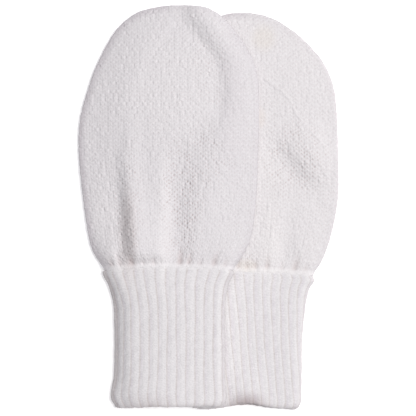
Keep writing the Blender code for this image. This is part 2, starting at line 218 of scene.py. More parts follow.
LEFT = Mitten(
    name="left",
    middle=-13.25,
    join=-20.15,
    join_bend=((-21.5, -0.4), (-8.0, 0.5), (6.0, 0.6), (21.5, -0.3)),
    hem_bend=((-18.6, 0.3), (0.0, 0.5), (18.6, 1.4)),
    edges=(
        Edge(-21.3, 0.0, 21.3, 0.0), Edge(-24.0, 3.3, 24.0, 3.3),
        Edge(-26.6, 9.3, 27.5, 10.7), Edge(-28.9, 24.7, 29.3, 24.7),
        Edge(-30.2, 39.5, 29.8, 38.7), Edge(-29.7, 49.3, 30.3, 52.3),
        Edge(-27.2, 59.3, 29.9, 61.7), Edge(-23.4, 69.3, 27.7, 70.0),
        Edge(-17.7, 79.3, 22.8, 78.0), Edge(-11.0, 85.0, 17.1, 84.2),
        Edge(-4.0, 87.0, 12.2, 86.9), Edge(0.7, 87.6, 7.3, 87.6),
    ),
    cuff=(
        CuffRow(0.0, 21.4, 21.3), CuffRow(1.3, 22.1, 21.6), CuffRow(5.3, 20.3, 19.8),
        CuffRow(10.7, 18.8, 18.9), CuffRow(16.0, 18.3, 18.7), CuffRow(34.0, 18.3, 18.7),
        CuffRow(42.0, 19.5, 19.0), CuffRow(45.2, 18.6, 18.9), CuffRow(46.5, 16.0, 17.6),
    ),
    folds=(
        Fold(left_width=4.5, right_width=15.0, points=(
            (-11.4, -2.0, 1.2), (-12.2, 8.0, 1.2), (-12.8, 22.0, 0.9), (-14.0, 38.0, 0.3),
        )),
        Fold(left_width=5.0, right_width=6.0, points=(
            (2.6, -2.0, -0.9), (3.0, 20.0, -0.9), (3.8, 38.0, -0.4),
        )),
        Fold(left_width=4.5, right_width=8.0, points=(
            (9.6, 84.0, 0.5), (14.3, 77.0, 0.9), (19.6, 69.5, 0.9), (21.4, 57.0, 0.7),
            (18.5, 42.0, 0.3),
        )),
    ),
    mouth=Mouth(middle=-6.0, half_width=12.0, high=0.5, drawn_up=0.3),
    creases=(
        Fold(left_width=4.0, right_width=10.0, points=(
            (-11.0, 0.0, 1.3), (-11.3, 7.5, 2.8), (-12.0, 16.0, 2.9), (-13.0, 26.0, 1.7),
            (-14.2, 37.0, 0.6),
        )),
        Fold(left_width=7.5, right_width=4.0, points=(
            (-2.6, 1.0, 1.2), (-2.4, 20.0, 1.1), (-3.0, 38.0, 0.3),
        )),
        Fold(left_width=9.0, right_width=11.0, points=(
            (11.0, 6.0, 0.2), (13.5, 25.0, 0.6), (15.6, 35.0, 1.1), (17.0, 43.0, 1.0),
            (18.0, 54.0, 0.0),
        )),
        Fold(left_width=7.5, right_width=9.0, points=(
            (10.4, 85.4, 1.7), (14.6, 81.4, 1.9), (18.6, 76.8, 1.6), (22.4, 70.0, 1.0),
            (23.6, 62.5, 0.6), (22.8, 52.5, 0.5), (20.6, 44.2, 0.35),
        )),
    ),
    seam_lines=(
        SeamLine(half_width=0.4, high=0.10, points=(
            (17.6, 81.5), (23.5, 75.0), (26.8, 68.0), (28.2, 60.0), (28.6, 51.0),
        )),
    ),
    open_patches=(
        Patch((4.5, 23.0), (7.0, 22.0), 1.0),
        Patch((12.0, 36.0), (9.0, 12.0), 0.7),
        Patch((-13.0, 20.0), (5.0, 22.0), 0.7),
        Patch((14.0, 66.0), (7.0, 14.0), 0.5),
    ),
    # Painted shade beside the steep fold and the top crease, painted light on the ridges, and one
    # lighter place
    tones=(
        Tone((-13.4, 10.0), (2.8, 16.0), SHADE_TINT),
        Tone((-7.0, 2.4), (5.0, 2.6), PAINTED_LIGHT_TINT),
        Tone((-1.4, 13.0), (2.4, 24.0), PAINTED_LIGHT_TINT),
        Tone((-19.5, 14.0), (5.5, 20.0), PAINTED_LIGHT_TINT),
        Tone((21.8, 54.0), (5.0, 26.0), PAINTED_SOFT_SHADE),
        Tone((2.0, 60.0), (15.0, 18.0), FAINT_TINT),
    ),
    gathers=(
        Gather(-18.6, 5.0, 0.9, -0.5), Gather(-15.8, 7.0, 0.8, -0.4),
        Gather(-11.9, 5.5, 1.0, -0.7), Gather(-8.2, 3.5, 0.7, -0.3),
        Gather(-4.9, 4.4, 0.8, -0.35), Gather(3.7, 8.0, 1.0, -0.7),
        Gather(6.6, 6.0, 0.9, -0.6), Gather(10.1, 3.8, 0.8, -0.35),
        Gather(14.7, 7.0, 0.9, -0.6), Gather(18.3, 4.5, 0.8, -0.4),
    ),
    rib=Rib(
        count=26, phase=0.30,
        profile=(
            (0.0, -0.08), (0.08, -0.06), (0.18, -0.05), (0.28, -0.03), (0.38, 0.01),
            (0.52, 0.04), (0.66, 0.02), (0.78, 0.03), (0.88, -0.01), (1.0, -0.08),
        ),
        purl_end=0.33, wales=2, slant=0.0,
    ),
    row_tilt=0.0,
    colour=LEFT_COLOUR,
)

RIGHT = Mitten(
    name="right",
    middle=12.4,
    join=-21.15,
    join_bend=((-21.5, 0.6), (0.0, 0.1), (12.0, -0.3), (22.5, -1.2)),
    hem_bend=((-19.0, 0.7), (18.6, 0.8)),
    edges=(
        Edge(-21.3, 0.0, 22.4, 0.0), Edge(-24.0, 3.3, 25.6, 4.3),
        Edge(-27.5, 10.7, 28.7, 12.3), Edge(-29.3, 24.7, 30.9, 24.3),
        Edge(-29.8, 38.7, 31.0, 38.7), Edge(-30.0, 52.3, 30.5, 52.3),
        Edge(-28.5, 61.7, 29.2, 62.0), Edge(-25.5, 70.0, 25.5, 70.3),
        Edge(-20.0, 77.3, 18.5, 78.0), Edge(-13.0, 83.0, 11.7, 82.9),
        Edge(-8.0, 85.2, 6.5, 85.2), Edge(-4.5, 86.1, 1.0, 86.2),
    ),
    cuff=(
        CuffRow(0.0, 21.0, 22.3), CuffRow(2.0, 21.3, 22.9), CuffRow(4.8, 20.3, 21.4),
        CuffRow(9.0, 19.4, 20.3), CuffRow(16.0, 19.0, 19.5), CuffRow(26.0, 19.0, 18.8),
        CuffRow(42.0, 19.0, 18.6), CuffRow(44.7, 18.9, 18.4), CuffRow(46.0, 17.2, 17.2),
    ),
    folds=(
        Fold(left_width=9.0, right_width=5.0, points=(
            (7.5, 43.5, -0.2), (11.0, 39.2, -0.8), (16.8, 32.5, -1.0), (22.5, 26.0, -0.4),
        )),
        Fold(left_width=8.0, right_width=5.0, points=(
            (11.3, 28.0, 0.2), (10.2, 18.0, 0.6), (7.6, -2.0, 0.7),
        )),
    ),
    mouth=Mouth(middle=0.5, half_width=9.5, high=1.4, drawn_up=1.4),
    creases=(
        Fold(left_width=11.0, right_width=11.0, points=(
            (12.5, 47.0, 0.1), (20.5, 41.0, 1.6), (25.5, 34.5, 1.4), (28.5, 28.0, 0.2),
        )),
        Fold(left_width=5.5, right_width=4.5, points=(
            (13.2, 0.0, -0.5), (14.2, 12.0, -0.4), (15.6, 27.0, 0.0),
        )),
    ),
    seam_lines=(
        SeamLine(half_width=0.4, high=0.2, points=(
            (6.4, 64.0), (14.1, 57.8), (17.4, 51.5), (24.4, 43.8), (26.4, 41.2), (29.1, 42.8),
            (29.4, 45.8),
        )),
        SeamLine(half_width=0.4, high=0.16, points=(
            (17.1, 50.1), (19.8, 45.1), (24.1, 41.5), (26.4, 40.1),
        )),
    ),
    open_patches=(
        Patch((16.0, 37.0), (11.0, 13.0), 0.9),
        Patch((1.0, 3.0), (4.0, 4.0), 0.6),
    ),
    tones=(
        Tone((6.0, 77.6), (4.0, 4.4), STAIN_TINT),
        Tone((5.1, 51.0), (1.6, 3.4), WARM_TINT),
        Tone((0.4, 1.9), (3.6, 2.0), STAIN_TINT),
        Tone((5.0, 26.0), (6.5, 34.0), FAINT_TINT),
        Tone((8.8, 8.0), (3.6, 12.0), FAINT_TINT),
        Tone((-4.0, -23.0), (5.5, 26.0), FAINT_TINT),
    ),
    gathers=(
        Gather(-14.0, 5.0, 0.9, -0.4), Gather(-8.5, 6.0, 0.9, -0.4),
        Gather(-2.4, 4.5, 0.8, -0.5), Gather(0.4, 3.5, 0.8, -0.5),
        Gather(3.0, 4.5, 0.8, -0.5), Gather(6.9, 7.0, 0.9, -0.45),
        Gather(11.8, 4.0, 0.8, -0.3), Gather(15.9, 7.5, 1.0, -0.5),
        Gather(19.4, 4.0, 0.8, -0.35),
    ),
    rib=Rib(
        count=29, phase=0.10,
        profile=(
            (0.0, -0.07), (0.10, -0.05), (0.25, -0.03), (0.42, -0.03), (0.52, 0.01),
            (0.66, 0.05), (0.80, 0.05), (0.90, 0.0), (1.0, -0.07),
        ),
        purl_end=0.48, wales=1, slant=-4.8,
    ),
    row_tilt=0.10,
    colour=RIGHT_COLOUR,
)

def ease(value):
    """A smooth climb from 0 to 1 while value goes from 0 to 1."""
    value = np.clip(value, 0.0, 1.0)
    return value * value * (3.0 - 2.0 * value)


def bell(value):
    """1 at 0, falling smoothly to nothing past 2 or so."""
    return np.exp(-value * value)


# Outlines

def smooth_points(points, steps):
    """Points on a smooth curve through the given ones, steps for each stretch."""
    points = np.array(points, float)
    ends = np.vstack([2 * points[0] - points[1], points, 2 * points[-1] - points[-2]])
    curve = [points[0]]
    for before, here, there, after in zip(ends, ends[1:], ends[2:], ends[3:]):
        for step in range(1, steps + 1):
            t = step / steps
            curve.append(0.5 * (
                2 * here
                + (there - before) * t
                + (2 * before - 5 * here + 4 * there - after) * t ** 2
                + (3 * here - before - 3 * there + after) * t ** 3
            ))
    return np.array(curve)


def mitt_edges(mitten, steps=OUTLINE_STEPS):
    """The left and the right edge of a mitt, from the cuff to the closed end."""
    left = [(mitten.middle + e.left, mitten.join + e.left_up) for e in mitten.edges]
    right = [(mitten.middle + e.right, mitten.join + e.right_up) for e in mitten.edges]
    return smooth_points(left, steps), smooth_points(right, steps)


def cuff_edges(mitten, steps=OUTLINE_STEPS):
    """The left and the right side of a cuff, from the mitt to the hem."""
    left = [(mitten.middle - c.left, mitten.join - GAP - c.down) for c in mitten.cuff]
    right = [(mitten.middle + c.right, mitten.join - GAP - c.down) for c in mitten.cuff]
    return smooth_points(left, steps), smooth_points(right, steps)


def whole_outline(mitten):
    """The outline of a mitten and its cuff, from hem to hem over the closed end."""
    cuff_left, cuff_right = cuff_edges(mitten)
    mitt_left, mitt_right = mitt_edges(mitten)
    return np.vstack([cuff_left[::-1], mitt_left, mitt_right[::-1], cuff_right])


def nearest_on(line, points):
    """Distance of each point from a line, how far along the line that is, and its side.

    How far along is in stretches of the line, and the side is true for the right one.
    """
    nearest = np.full(len(points), np.inf)
    along_line = np.zeros(len(points))
    is_right = np.zeros(len(points), bool)
    for number, (start, end) in enumerate(zip(line, line[1:])):
        along = end - start
        offset = points - start
        share = np.clip(offset @ along / max(along @ along, SHORTEST ** 2), 0.0, 1.0)
        away = offset - share[:, None] * along
        distance = np.linalg.norm(away, axis=1)
        going_up = along if along[1] > 0.0 else -along
        closer = distance < nearest
        is_right = np.where(closer, away[:, 0] * going_up[1] > away[:, 1] * going_up[0], is_right)
        along_line = np.where(closer, number + share, along_line)
        nearest = np.minimum(nearest, distance)
    return nearest, along_line, is_right


def depth_inside(outline, points):
    """Distance from the outline, positive inside and negative outside."""
    nearest, _, _ = nearest_on(outline, points)
    inside = np.zeros(len(points), bool)
    for a, b in zip(outline, np.roll(outline, -1, axis=0)):
        spans = (a[1] > points[:, 1]) != (b[1] > points[:, 1])
        rise = b[1] - a[1] if a[1] != b[1] else 1.0
        crossing = a[0] + (points[:, 1] - a[1]) / rise * (b[0] - a[0])
        inside ^= spans & (points[:, 0] < crossing)
    return np.where(inside, nearest, -nearest)


# Heights

def rounded(depth, reach):
    """Height of cloth that rises from a seam and reaches full height this far inside it."""
    share = np.clip(depth / reach, 0.0, 1.0)
    return SEAM_HEIGHT + HOLLOW * (1.0 - (1.0 - share) ** 2)


def thickness(mitten, points, depth):
    """Height of a flat mitten's upper side over its underside, without the folds."""
    above_cuff = points[:, 1] - mitten.join
    return rounded(depth, CUFF_ROUND + (PUFF_REACH - CUFF_ROUND) * ease(above_cuff / GATHER_REACH))


def height_of_folds(mitten, folds, points, steps):
    """What some folds add to a front panel's height, with steps points for each stretch."""
    total = np.zeros(len(points))
    place = np.array((mitten.middle, mitten.join, 0.0))
    for fold in folds:
        line = smooth_points(fold.points, steps) + place
        distance, along, is_right = nearest_on(line[:, :2], points)
        high = np.interp(along, np.arange(len(line)), line[:, 2])
        width = np.where(is_right, fold.right_width, fold.left_width)
        total += high * ease(1.0 - distance / width)
    return total * ease((points[:, 1] - mitten.join) / FOLD_RISE)


def fold_height(mitten, points):
    """The folds of the CAD model."""
    return height_of_folds(mitten, mitten.folds, points, 1)


def crease_height(mitten, points):
    """The sharper creases on them, which show in the cloth's surface only."""
    return height_of_folds(mitten, mitten.creases, points, OUTLINE_STEPS)


def surface_height(points):
    """The height of the surface, which all of the lower mitten lies on."""
    return np.zeros(len(points))


def step_height(points, on_cuff, on_mitt):
    """The height of a cloth that lies on the lower mitten and steps down beside it."""
    share = ease((points[:, 1] - LEFT.join) / GATHER_REACH)
    bridge = on_cuff.bridge + (on_mitt.bridge - on_cuff.bridge) * share
    reach = on_cuff.reach + (on_mitt.reach - on_cuff.reach) * share
    rise = on_cuff.rise + (on_mitt.rise - on_cuff.rise) * share
    depth = depth_inside(RIGHT_OUTLINE, points) + bridge
    lying = rounded(depth, rise) + np.maximum(fold_height(RIGHT, points), 0.0) + GAP
    return np.where(depth > 0.0, lying, (SEAM_HEIGHT + GAP) * ease(1.0 + depth / reach))


def draped_height(points):
    """The underside of the upper mitten's back."""
    return step_height(points, BACK_OF_CUFF, BACK_OF_MITT)


def bridged_height(points):
    """The same for its front, which spans the step beside the lower mitten."""
    lowest = draped_height(points)
    highest = step_height(points, FRONT_OF_CUFF, FRONT_OF_MITT)
    return lowest + (highest - lowest) * ease(depth_inside(LEFT_OUTLINE, points) / BRIDGE_RISE)


def mouth_opening(mitten, points):
    """How far the cuff's front stands up from its back near the hem."""
    hem = mitten.join - mitten.cuff[-1].down
    from_hem = (points[:, 1] - hem) / (2 * mitten.mouth.half_width)
    across = np.abs(points[:, 0] - mitten.middle - mitten.mouth.middle) / mitten.mouth.half_width
    return mitten.mouth.high * ease(1.0 - across) * ease(1.0 - from_hem)


class HeightMap:
    """Heights over the pair on a fine grid, smoothed, and read between its points."""

    def __init__(self, height_of):
        self.x = np.arange(-MAP_REACH[0], MAP_REACH[0], MAP_STEP)
        self.y = np.arange(-MAP_REACH[1], MAP_REACH[1], MAP_STEP)
        grid = np.stack(np.meshgrid(self.x, self.y), axis=-1).reshape(-1, 2)
        heights = height_of(grid).reshape(len(self.y), len(self.x))
        for _ in range(MAP_BLURS):
            heights = blurred(blurred(heights).T).T
        self.heights = heights

    def at(self, points):
        """The height at each of these points."""
        column = np.clip((points[:, 0] - self.x[0]) / MAP_STEP, 0, len(self.x) - 1.001)
        row = np.clip((points[:, 1] - self.y[0]) / MAP_STEP, 0, len(self.y) - 1.001)
        left, low = column.astype(int), row.astype(int)
        across, up = column - left, row - low
        lower = self.heights[low, left] * (1 - across) + self.heights[low, left + 1] * across
        upper = self.heights[low + 1, left] * (1 - across) + self.heights[low + 1, left + 1] * across
        return lower * (1 - up) + upper * up


def blurred(heights):
    """Each row averaged a little with the rows before and after it."""
    padded = np.vstack([heights[:1], heights, heights[-1:]])
    return 0.25 * padded[:-2] + 0.5 * padded[1:-1] + 0.25 * padded[2:]


def seam_line_height(mitten, points):
    """Thin raised lines in the knit."""
    place = np.array((mitten.middle, mitten.join))
    total = np.zeros(len(points))
    for line in mitten.seam_lines:
        distance, _, _ = nearest_on(smooth_points(line.points, OUTLINE_STEPS) + place, points)
        total += line.high * bell(distance / line.half_width)
    return total


def gather_height(mitten, points):
    """Small gathers that run up from the cuff."""
    above = points[:, 1] - mitten.join
    total = np.zeros(len(points))
    for gather in mitten.gathers:
        lean = 1.0 + GATHER_LEAN * above / GATHER_REACH
        across = points[:, 0] - mitten.middle - gather.across * lean
        total += gather.high * bell(across / gather.half_width) * ease(1.0 - above / gather.tall)
    return total


# Yarn

def wave(turns):
    """A smooth wave, 0 at whole turns and 1 half way between them."""
    return 0.5 - 0.5 * np.cos(2.0 * math.pi * turns)


def strays(waves, along, across):
    """A sum of waves, by which the stitches are never quite even."""
    return sum(w.far * np.sin(w.along * along + w.across * across + w.start) for w in waves)


def table_value(values, row, column):
    """The value of a table, repeated without end, at each row and column."""
    rows, columns = values.shape
    return values[np.floor(row).astype(int) % rows, np.floor(column).astype(int) % columns]


def knit_relief(across, along, opening, uneven):
    """Height of the yarn, and how deep in a hole or a groove each point is.

    A wale is 1 across and a stitch is 1 along. Each stitch has a left and a right leg,
    which slant outwards as they go up, with a pinhole between them and another one
    between neighbouring wales.
    """
    a = across - np.floor(across) - 0.5
    b = along - np.floor(along) - 0.5
    legs = wave(b - np.abs(a))
    ridges = wave(2.0 * a)
    in_stitch = bell(a / PINHOLE_WIDTH) * bell(b / PINHOLE_HEIGHT)
    between = bell((np.abs(a) - 0.5) / PINHOLE_WIDTH) * bell((np.abs(b) - 0.5) / PINHOLE_HEIGHT)
    hole = opening * (in_stitch + between)
    relief = LEG_HEIGHT * legs + WALE_HEIGHT * ridges + UNEVENNESS * uneven - PIT_DEPTH * hole
    groove = 1.0 - legs * (0.5 + 0.5 * ridges)
    return relief, hole, groove


def rib_relief(rib, share, course, spread):
    """Height of the rib, and how deep in a groove, how recessed and how dotted each point is.

    share is how far round the cuff a point is, and course how many courses down it is.
    """
    place = share * rib.count + rib.phase
    p = place - np.floor(place)
    across, heights = zip(*rib.profile)
    raised = np.clip((p - rib.purl_end) / (1.0 - rib.purl_end), 0.0, 0.999)
    a = raised * rib.wales - np.floor(raised * rib.wales) - 0.5
    legs = wave(course + RIB_LEG_SLANT * np.abs(a))
    loops = wave(course)
    purl = np.sin(math.pi * np.clip(p / rib.purl_end, 0.0, 1.0))
    strength = table_value(spread, course, place)
    yarn = np.where(p < rib.purl_end, PURL_HEIGHT * loops * purl, RIB_LEG_HEIGHT * legs)
    height = np.interp(p, across, heights) + yarn
    from_groove = np.abs(p + GROOVE_SHIFT - np.round(p + GROOVE_SHIFT))
    groove = bell(from_groove / GROOVE_HALF) * (0.5 + 0.5 * strength + GROOVE_DOTS * loops)
    dots = purl * (1.0 - loops) * strength
    recess = np.where(p < rib.purl_end, purl, LEG_RECESS * (1.0 - legs))
    return height, groove, recess, dots


def bent(mitten, points):
    """Points moved up with the join between mitt and cuff, and with the hem."""
    hem = mitten.join - GAP - mitten.cuff[-1].down
    moved = points.copy()
    for bend, level in ((mitten.join_bend, mitten.join), (mitten.hem_bend, hem)):
        across, up = zip(*bend)
        near = ease(1.0 - np.abs(points[:, 1] - level) / BEND_REACH)
        moved[:, 1] += near * np.interp(points[:, 0] - mitten.middle, across, up)
    return moved


# Shells

def panel_columns(mitten, rows_y, fineness):
    """For each row: its left end, its right end, and where the wales' lines cross it."""
    left, right = mitt_edges(mitten, 4 * OUTLINE_STEPS)
    left_x = np.interp(rows_y, left[:, 1], left[:, 0])
    right_x = np.interp(rows_y, right[:, 1], right[:, 0])
    half = 0.5 * (right_x - left_x)
    middle = 0.5 * (right_x + left_x)
    widest = int(np.argmax(half))
    half[widest:] = half[widest]
    middle[widest:] = middle[widest]
    shares = np.linspace(-1.0, 1.0, WALES * fineness[0] + 1)
    return left_x, right_x, middle[:, None] + half[:, None] * shares


def panel_grid(mitten, fineness):
    """Points over a mitt along its wales and rows, and the number of each.

    Those outside are drawn in to its edge, where points that share a place share a number.
    """
    top = mitten.join + mitten.edges[-1].left_up
    count = int(round((top - mitten.join) / STITCH * fineness[1]))
    rows_y = np.linspace(mitten.join, top, count + 1)
    left_x, right_x, columns = panel_columns(mitten, rows_y, fineness)
    middle = int(0.5 * columns.shape[1])
    first = np.clip((columns <= left_x[:, None]).sum(axis=1) - 1, 0, middle)
    last = columns.shape[1] - np.minimum((columns >= right_x[:, None]).sum(axis=1), middle)
    kept = np.clip(np.arange(columns.shape[1]), first[:, None], last[:, None])
    x = np.clip(columns, left_x[:, None], right_x[:, None])
    points = np.stack([x, np.broadcast_to(rows_y[:, None], x.shape)], axis=-1)
    return points, np.arange(len(rows_y))[:, None] * columns.shape[1] + kept


def compact(index, values):
    """Only the used points of a grid, the grid's indices into them, and which they are."""
    used, renumbered = np.unique(index, return_inverse=True)
    return values.reshape(-1, values.shape[-1])[used], renumbered.reshape(index.shape), used


def grid_faces(index, wrap=False):
    """Faces between neighbouring points of a grid of indices, without repeated corners."""
    if wrap:
        index = np.hstack([index, index[:, :1]])
    corners = np.stack([index[:-1, :-1], index[:-1, 1:], index[1:, 1:], index[1:, :-1]], axis=-1)
    faces = []
    for face in corners.reshape(-1, 4).tolist():
        face = [c for i, c in enumerate(face) if c != face[i - 1]]
        if len(face) > 2:
            faces.append(face)
    return faces


def zipped(near, far, near_at, far_at):
    """Triangles between two rows of points of different counts, in order along both."""
    faces = []
    i = j = 0
    while i < len(near) - 1 or j < len(far) - 1:
        more_near = i < len(near) - 1
        more_far = j < len(far) - 1
        if more_near and (not more_far or near_at[i + 1] <= far_at[j + 1]):
            faces.append((near[i], near[i + 1], far[j]))
            i += 1
        else:
            faces.append((near[i], far[j + 1], far[j]))
            j += 1
    return faces


def unit(vectors):
    """The same directions with a length of 1."""
    return vectors / np.linalg.norm(vectors, axis=-1, keepdims=True)


def roll_share(distance, width):
    """A quarter round: 0 at the edge, 1 from width inwards."""
    inward = np.clip(distance / width, 0.0, 1.0)
    return np.sqrt(1.0 - (1.0 - inward) ** 2)


def tinted(tint, share):
    """Colour factors for points that take on a share of a tint."""
    return 1.0 + (np.array(tint) - 1.0) * np.clip(share, 0.0, 1.0).reshape(-1, 1)


def panel_surface(mitten, maps, is_front, points):
    """Heights of a panel's outer side at these points, with its edges rolled to the seam."""
    depth = np.maximum(maps.depth.at(points), 0.0)
    above = points[:, 1] - mitten.join
    if is_front:
        flat = maps.front.at(points)
        seam = maps.front_base.at(points) + 0.5 * SEAM_HEIGHT + 0.5 * GAP
    else:
        flat = maps.back_base.at(points)
        seam = flat + CLOTH - GAP
    width = np.where(points[:, 0] < mitten.middle, LEFT_ROLL, RIGHT_ROLL)
    roll = roll_share(depth, width) * (1.0 - JOIN_DROP * (1.0 - roll_share(above, JOIN_ROLL)))
    return seam + (flat - seam) * roll


def panel_yarn(mitten, maps, is_front, flat, across):
    """What the yarn adds to a panel's height, and its tint, which carries painted shade and painted
    light.
    """
    above = flat[:, 1] - mitten.join
    depth = maps.depth.at(flat)
    along = above / STITCH + mitten.row_tilt * (flat[:, 0] - mitten.middle) / STITCH
    rng = np.random.default_rng(len(mitten.name) + is_front)
    spread = table_value(rng.random(STITCH_TABLE), along, 2.0 * across)
    uneven = table_value(rng.normal(size=STITCH_TABLE), along + 0.5, 2.0 * across + 0.5)
    pulled = pulled_open(mitten, flat)
    opening = (LEAST_HOLE + HOLE_SPREAD * spread ** 2) * pulled
    wobble = strays(WOBBLES, along, across)
    relief, hole, groove = knit_relief(across + WALE_WOBBLE * wobble, along + wobble, opening, uneven)
    fuzz = rng.normal(size=len(flat))
    relief = relief * (EASED_RELIEF + (1.0 - EASED_RELIEF) * pulled) + FUZZ_HEIGHT * fuzz
    edge = 1.0 - ease(depth / FLAT_EDGE)
    band = ease(1.0 - above / BAND_HEIGHT)
    relief *= (1.0 - EDGE_FLATNESS * edge) * (1.0 - BAND_FLATNESS * band)
    relief += BAND_STAND * band + edge * (1.0 - band) * strays(EDGE_BUMPS, along, across)
    shade = np.where(flat[:, 0] < mitten.middle, 1.0, RIGHT_SHADE_SHARE)
    # Painted shade in the grooves and the pinholes, left off the band
    tint = tinted(PAINTED_GROOVE_SHADE, groove * (1.0 - band)) * tinted(PAINTED_HOLLOW_SHADE, hole * (1.0 - band))
    # Painted light on the band along the join, and fibres lighter or darker at random
    tint *= tinted(PAINTED_BAND_LIGHT, band) * (1.0 + FUZZ_SHADE * fuzz[:, None])
    # Painted shade along the seams, weaker on the right
    tint *= tinted(PAINTED_EDGE_SHADE, shade * (1.0 - ease(depth / EDGE_WIDTH)))
    if is_front:
        gathers = gather_height(mitten, flat) * (1.0 - band)
        relief += gathers + seam_line_height(mitten, flat)
        # Painted shade in the gathers; the tones add stains, painted shade and painted light
        tint *= tinted(PAINTED_HOLLOW_SHADE, -GATHER_SHADE * gathers) * tone_tint(mitten, flat)
    return relief, tint


def spaced(count):
    """Shares from 0 to 1, closer together towards both ends."""
    return wave(np.linspace(0.0, 0.5, count))


def inner_side(mitten, maps, is_front, left_ends, right_ends):
    """A panel's plain inner side, as rows of points between the ends of the outer side's rows."""
    side = 1.0 if is_front else -1.0
    share = spaced(INNER_COLUMNS + 1)
    inner = left_ends[:, None, :] + (right_ends - left_ends)[:, None, :] * share[None, :, None]
    height = panel_surface(mitten, maps, is_front, inner[..., :2].reshape(-1, 2)) - side * CLOTH
    is_edge = (share <= 0.0) | (share >= 1.0)
    edge_height = inner[..., 2] - side * EDGE_INSET
    inner[..., 2] = np.where(is_edge[None, :], edge_height, height.reshape(inner.shape[:2]))
    return inner


def panel_faces(index, inner_index, places):
    """Faces of a panel's outer side, of its inner side and of the rim between them."""
    faces = grid_faces(index)
    faces += [face[::-1] for face in grid_faces(inner_index)]
    faces += grid_faces(np.column_stack([inner_index[:, 0], index[:, 0]]))
    faces += grid_faces(np.column_stack([index[:, -1], inner_index[:, -1]]))
    for row, is_turned in ((0, True), (-1, False)):
        near = unrepeated(index[row])
        far = inner_index[row].tolist()
        strip = zipped(near, far, places[near], places[far])
        faces += [face[::-1] for face in strip] if is_turned else strip
    return faces


def join_lap(mitten, flat):
    """How far the scallops along a panel's lower edge lap over its cuff."""
    x = flat[:, 0]
    stray = SCALLOP_STRAY * np.sin(SCALLOP_DRIFT * x)
    scallops = 0.5 + 0.5 * np.cos(2.0 * math.pi * x / SCALLOP + stray)
    near = ease(1.0 - (flat[:, 1] - mitten.join) / JOIN_ROLL)
    return (GAP + JOIN_LAP * scallops) * near


def panel_shell(mitten, maps, is_front):
    """One panel of a mitt as a closed shell."""
    fineness = FRONT_FINENESS if is_front else BACK_FINENESS
    grid, index = panel_grid(mitten, fineness)
    flat, index, used = compact(index, grid)
    across = (used % grid.shape[1]) / fineness[0]
    relief, tint = panel_yarn(mitten, maps, is_front, flat, across)
    height = panel_surface(mitten, maps, is_front, flat)
    stand = relief if is_front else -relief
    outer = np.column_stack([flat, height])
    outer += surface_normals(mitten, maps, is_front, flat) * stand[:, None]
    outer[:, 2] = np.maximum(outer[:, 2], FLOOR_GAP)
    inner = inner_side(mitten, maps, is_front, outer[index[:, 0]], outer[index[:, -1]])
    outer[:, 1] -= join_lap(mitten, flat)
    points = np.vstack([outer, inner.reshape(-1, 3)])
    inner_index = np.arange(len(outer), len(points)).reshape(inner.shape[:2])
    faces = panel_faces(index, inner_index, points[:, 0])
    if not is_front:
        faces = [face[::-1] for face in faces]
    tints = np.vstack([tint, np.ones((len(points) - len(tint), 3))])
    return bent(mitten, points), faces, tints


def radii_away(mitten, oval, flat):
    """How far points are from the middle of a tone or a patch, in its own radii."""
    place = np.array((mitten.middle, mitten.join)) + np.array(oval.middle)
    return np.linalg.norm((flat - place) / np.array(oval.radii), axis=1)


def pulled_open(mitten, flat):
    """How open the pinholes are: wide where the knit is pulled over a fold."""
    openness = np.full(len(flat), TIGHT)
    for patch in mitten.open_patches:
        away = radii_away(mitten, patch, flat)
        openness = np.maximum(openness, patch.strength * ease(PATCH_FADE - away))
    return openness


def unrepeated(row):
    """The numbers of a row, with those that follow themselves taken once."""
    return row[np.insert(np.diff(row) != 0, 0, True)].tolist()


def surface_normals(mitten, maps, is_front, flat):
    """Normals of a panel's outer side, without the yarn."""
    def slope(step):
        ahead = panel_surface(mitten, maps, is_front, flat + step)
        behind = panel_surface(mitten, maps, is_front, flat - step)
        return (ahead - behind) / (2.0 * NORMAL_STEP)

    slope_x = slope(np.array((NORMAL_STEP, 0.0)))
    slope_y = slope(np.array((0.0, NORMAL_STEP)))
    return unit(np.column_stack([-slope_x, -slope_y, np.ones(len(flat))]))


def tone_tint(mitten, flat):
    """Colour factors of the stains, the lighter places, the painted shade and the painted light."""
    tint = np.ones((len(flat), 3))
    for tone in mitten.tones:
        tint *= tinted(tone.tint, ease(TONE_FADE - radii_away(mitten, tone, flat)))
    return tint


def cuff_section(mitten, maps, y, left_x, right_x, is_lining):
    """A ring round a cuff at one height, as points at even distances along it."""
    inset = CUFF_CLOTH if is_lining else 0.0
    low, high = left_x + inset, right_x - inset
    x = low + (high - low) * spaced(SECTION_POINTS)
    flat = np.column_stack([x, np.full(len(x), y)])
    opening = mouth_opening(mitten, flat)
    top = maps.front_base.at(flat) + opening
    bottom = maps.back_base.at(flat)
    depth = np.minimum(x - low, high - x)
    if is_lining:
        top += CUFF_CLOTH + GAP
        bottom += CUFF_CLOTH
        roll = roll_share(depth, LINING_ROLL)
    else:
        top += thickness(mitten, flat, depth)
        width = np.where(x < 0.5 * (left_x + right_x), LEFT_SIDE_ROLL, RIGHT_SIDE_ROLL)
        roll = roll_share(depth, width)
    middle = 0.5 * (top + bottom)
    drawn_up = mitten.mouth.drawn_up * opening / mitten.mouth.high
    front = np.column_stack([x, y + drawn_up, middle + (top - middle) * roll])
    back = np.column_stack([x, y + drawn_up * BACK_DRAWN_UP, middle - (middle - bottom) * roll])
    ring = np.vstack([front, back[-2::-1]])
    pieces = np.linalg.norm(np.diff(ring[:, ::2], axis=0), axis=1)
    lengths = np.concatenate([[0.0], np.cumsum(pieces)])
    wanted = np.linspace(0.0, lengths[-1], mitten.rib.count * RIB_COLUMNS, endpoint=False)
    return np.column_stack([np.interp(wanted, lengths, ring[:, axis]) for axis in range(3)])


